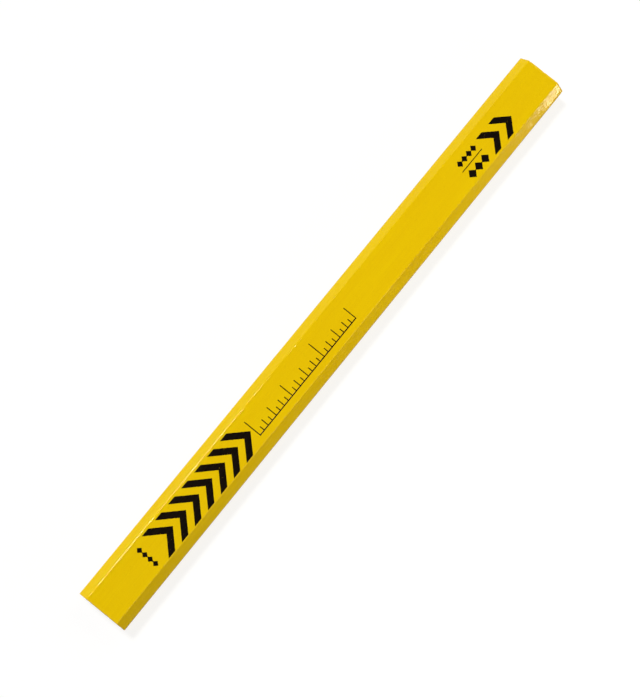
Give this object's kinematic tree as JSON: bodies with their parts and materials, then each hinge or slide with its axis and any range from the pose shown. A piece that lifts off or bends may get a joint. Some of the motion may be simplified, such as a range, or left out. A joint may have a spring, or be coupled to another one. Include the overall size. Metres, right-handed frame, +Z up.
{
  "type": "carpenter pencil",
  "caption": "Flat unsharpened carpenter pencil with a bevelled eight-sided section, a flat lead between two wood slats, yellow lacquer and black stamped chevrons.",
  "frame": {"origin": "centre of the underside, on the surface that the pencil lies on", "axes": "+X along the pencil, the way the stamped chevrons point; +Z up, out of the stamped flat; +Y across the pencil to the left of someone looking along +X"},
  "size_m": [0.1778, 0.014, 0.007],
  "materials": {
    "lacquer": "glossy yellow pencil lacquer over fine wood grain",
    "foil": "black stamping foil, satin",
    "slat_wood": "bare sawn light softwood, seen on the end faces",
    "glue": "dried wood glue, amber",
    "graphite": "fired graphite and clay, dull metallic grey"
  },
  "bodies": {
    "root": {"upper_slat": "slat_wood", "lower_slat": "slat_wood", "lead_core": "graphite", "glue_line": "glue", "lacquer_coat": "lacquer", "chevron_back_1": "foil", "chevron_back_2": "foil", "chevron_back_3": "foil", "chevron_back_4": "foil", "chevron_back_5": "foil", "chevron_back_6": "foil", "chevron_back_7": "foil", "chevron_front_1": "foil", "chevron_front_2": "foil", "inch_scale": "foil", "lozenge_row_upper": "foil", "divider_rule": "foil", "lozenge_row_lower": "foil", "lozenge_row_end": "foil"}
  },
  "joints": []
}
